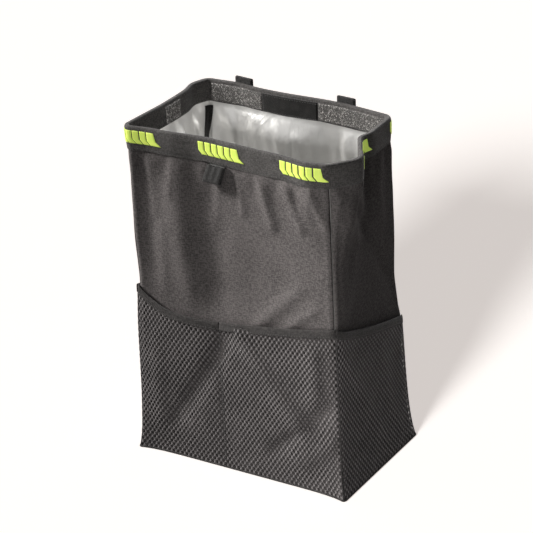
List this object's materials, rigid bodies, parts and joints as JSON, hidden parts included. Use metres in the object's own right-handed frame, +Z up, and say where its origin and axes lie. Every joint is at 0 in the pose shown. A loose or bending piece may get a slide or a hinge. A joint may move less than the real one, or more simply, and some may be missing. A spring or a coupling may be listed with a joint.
{
  "type": "car trash bin",
  "caption": "Soft rectangular fabric bin with a folded stiff rim, foil liner, bright rim marks and net pockets on three sides.",
  "frame": {"origin": "centre of the base on the floor it stands on", "axes": "+Z up, the front with the divided pocket faces -Y, +X to the right seen from the front"},
  "size_m": [0.2472, 0.1542, 0.357],
  "materials": {
    "wall_fabric": "dark woven polyester with a faint speckle",
    "board": "stiff sheet, hidden between the layers",
    "foil_liner": "silver film with soft folds",
    "seam_tape": "black tape over the liner seams",
    "net": "fine black netting",
    "hem_tape": "black woven tape",
    "rim_tape": "black woven tape",
    "bright_marks": "bright yellow-green marks",
    "hook_tape": "coarse speckled hook strip",
    "loop_tape": "soft black loop strip",
    "webbing": "black webbing with a slight sheen"
  },
  "bodies": {
    "root": {"base_panel": "wall_fabric", "base_board": "board", "front_panel": "wall_fabric", "right_panel": "wall_fabric", "back_panel": "wall_fabric", "left_panel": "wall_fabric", "liner": "foil_liner", "liner_tape_front_left": "seam_tape", "liner_tape_front_right": "seam_tape", "liner_tape_back_right": "seam_tape", "liner_tape_back_left": "seam_tape", "front_pocket_net": "net", "right_pocket_net": "net", "left_pocket_net": "net", "front_pocket_hem": "hem_tape", "right_pocket_hem": "hem_tape", "left_pocket_hem": "hem_tape", "rim_band": "rim_tape", "stiffener_front": "board", "stiffener_back": "board", "stiffener_right_front": "board", "stiffener_right_back": "board", "stiffener_left_front": "board", "stiffener_left_back": "board", "hook_strip_back_left": "hook_tape", "hook_strip_back_right": "hook_tape", "loop_strip_back": "loop_tape", "hook_strip_left": "hook_tape", "hook_strip_right": "hook_tape", "rim_marks": "bright_marks", "front_tab": "webbing", "strap_loop_left": "webbing", "strap_loop_right": "webbing"}
  },
  "joints": []
}
